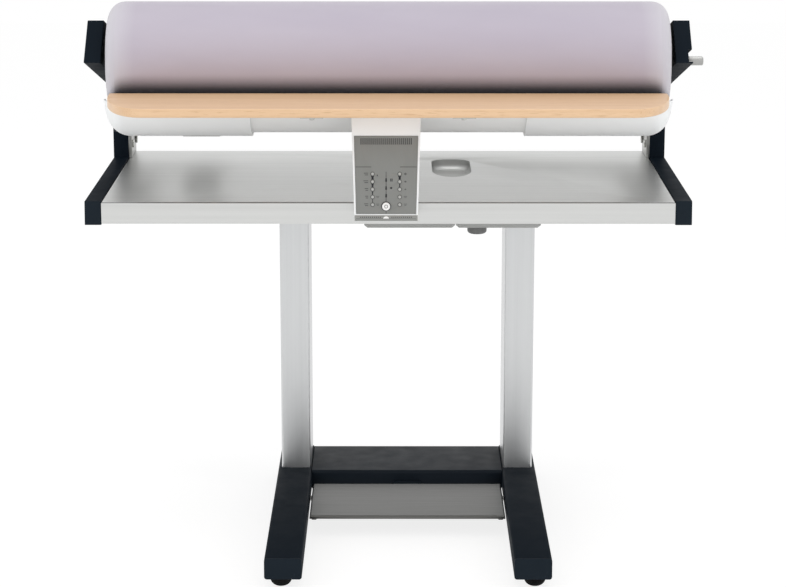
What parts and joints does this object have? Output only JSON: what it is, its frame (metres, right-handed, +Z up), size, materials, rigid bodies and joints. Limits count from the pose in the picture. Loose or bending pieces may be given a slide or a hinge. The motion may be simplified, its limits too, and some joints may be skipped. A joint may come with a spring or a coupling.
{
  "type": "flatwork ironer",
  "caption": "Free-standing flatwork ironer: padded roller between C-shaped side frames, heated shoe with feed board and control console, linen tray, two-column stand with foot pedal.",
  "frame": {"origin": "centre of the footprint at floor level", "axes": "+X to the user's right along the roller, +Y to the back, +Z up"},
  "size_m": [0.936, 0.66, 0.833],
  "materials": {
    "frame_black": "satin",
    "column_steel": "satin",
    "stainless": "brushed",
    "plain_steel": "plain",
    "zinc_bolts": "zinc plated",
    "black_plastic": "matt",
    "black_rubber": "matt",
    "box_grey": "matt",
    "motor_steel": "satin",
    "bearing_steel": "ground",
    "cotton": "woven",
    "felt": "felted",
    "tube_steel": "plain",
    "disc_aluminium": "cast",
    "shoe_aluminium": "polished",
    "heater_rubber": "matt",
    "glass_wool": "woven",
    "white_plastic": "fine texture",
    "panel_grey": "matt",
    "beech": "lacquered",
    "circuit_green": "gloss",
    "lamp_dark": "gloss"
  },
  "bodies": {
    "frame": {"left_leg": "frame_black", "right_leg": "frame_black", "leg_caps": "black_plastic", "foot_bushes": "plain_steel", "crossbeam": "frame_black", "left_column": "column_steel", "right_column": "column_steel", "head_beam": "plain_steel", "head_bolts": "zinc_bolts", "pedal_pins": "plain_steel", "pedal_switch": "black_plastic", "tray": "stainless", "recess_cup": "stainless", "electronics_box": "box_grey", "terminal_box": "box_grey", "mains_gland": "black_plastic", "left_side_frame": "frame_black", "right_side_frame": "frame_black", "arm_caps": "black_plastic", "left_pivot_plate": "plain_steel", "right_pivot_plate": "plain_steel", "plate_bolts": "zinc_bolts", "pivot_pins": "plain_steel", "rear_crossbar": "plain_steel", "lift_motor": "motor_steel", "right_bearing": "bearing_steel", "roller_motor": "motor_steel"},
    "pedal": {"pedal_plate": "stainless", "pedal_bushes": "black_rubber", "pedal_tips": "black_rubber"},
    "roller": {"roller_cover": "cotton", "roller_padding": "felt", "roller_tube": "tube_steel", "left_end_disc": "disc_aluminium", "right_end_disc": "disc_aluminium", "left_bearing": "bearing_steel", "drive_crown": "disc_aluminium", "crank_axle": "plain_steel"},
    "press_shoe": {"shoe_plate": "shoe_aluminium", "heater_mat": "heater_rubber", "shoe_insulation": "glass_wool", "shoe_casing": "plain_steel", "left_shoe_cover": "white_plastic", "right_shoe_cover": "white_plastic", "shoe_arms": "plain_steel", "feed_board": "beech", "board_brackets": "plain_steel", "board_bolts": "zinc_bolts", "console_housing": "white_plastic", "console_fascia": "panel_grey", "indicator_lamps": "lamp_dark", "circuit_board": "circuit_green", "console_trim": "panel_grey"},
    "lift": {"lift_shaft": "plain_steel", "lift_cams": "plain_steel"},
    "button": {"start_button": "white_plastic"},
    "front_left_foot_body": {"front_left_foot": "black_rubber"},
    "front_right_foot_body": {"front_right_foot": "black_rubber"},
    "rear_left_foot_body": {"rear_left_foot": "black_rubber"},
    "rear_right_foot_body": {"rear_right_foot": "black_rubber"}
  },
  "joints": [
    {"name": "pedal_rock", "type": "hinge", "parent": "frame", "child": "pedal", "pos_m": [0.0175, 0.028, 0.0285], "axis": [1, 0, 0], "range_deg": [0, 5], "stiffness_Nm_per_rad": 30},
    {"name": "roller_spin", "type": "hinge", "parent": "frame", "child": "roller", "pos_m": [-0.012, -0.023, 0.743], "axis": [1, 0, 0], "continuous": true},
    {"name": "shoe_press", "type": "hinge", "parent": "frame", "child": "press_shoe", "pos_m": [-0.012, 0.293, 0.65], "axis": [-1, 0, 0], "range_deg": [0, 1.5]},
    {"name": "lift_turn", "type": "hinge", "parent": "frame", "child": "lift", "pos_m": [-0.012, 0.162, 0.6327], "axis": [1, 0, 0], "range_deg": [0, 120]},
    {"name": "button_push", "type": "slide", "parent": "press_shoe", "child": "button", "axis": [0, 0.9986, -0.0523], "range_m": [0, 0.0015], "stiffness_N_per_m": 1300},
    {"name": "front_left_foot_turn", "type": "hinge", "parent": "frame", "child": "front_left_foot_body", "pos_m": [-0.1705, -0.3, 0.01], "axis": [0, 0, 1], "continuous": true},
    {"name": "front_right_foot_turn", "type": "hinge", "parent": "frame", "child": "front_right_foot_body", "pos_m": [0.2055, -0.3, 0.01], "axis": [0, 0, 1], "continuous": true},
    {"name": "rear_left_foot_turn", "type": "hinge", "parent": "frame", "child": "rear_left_foot_body", "pos_m": [-0.1705, 0.232, 0.01], "axis": [0, 0, 1], "continuous": true},
    {"name": "rear_right_foot_turn", "type": "hinge", "parent": "frame", "child": "rear_right_foot_body", "pos_m": [0.2055, 0.232, 0.01], "axis": [0, 0, 1], "continuous": true}
  ],
  "couplings": [
    {"joint": "lift_turn", "follows": "shoe_press", "ratio": 80}
  ]
}
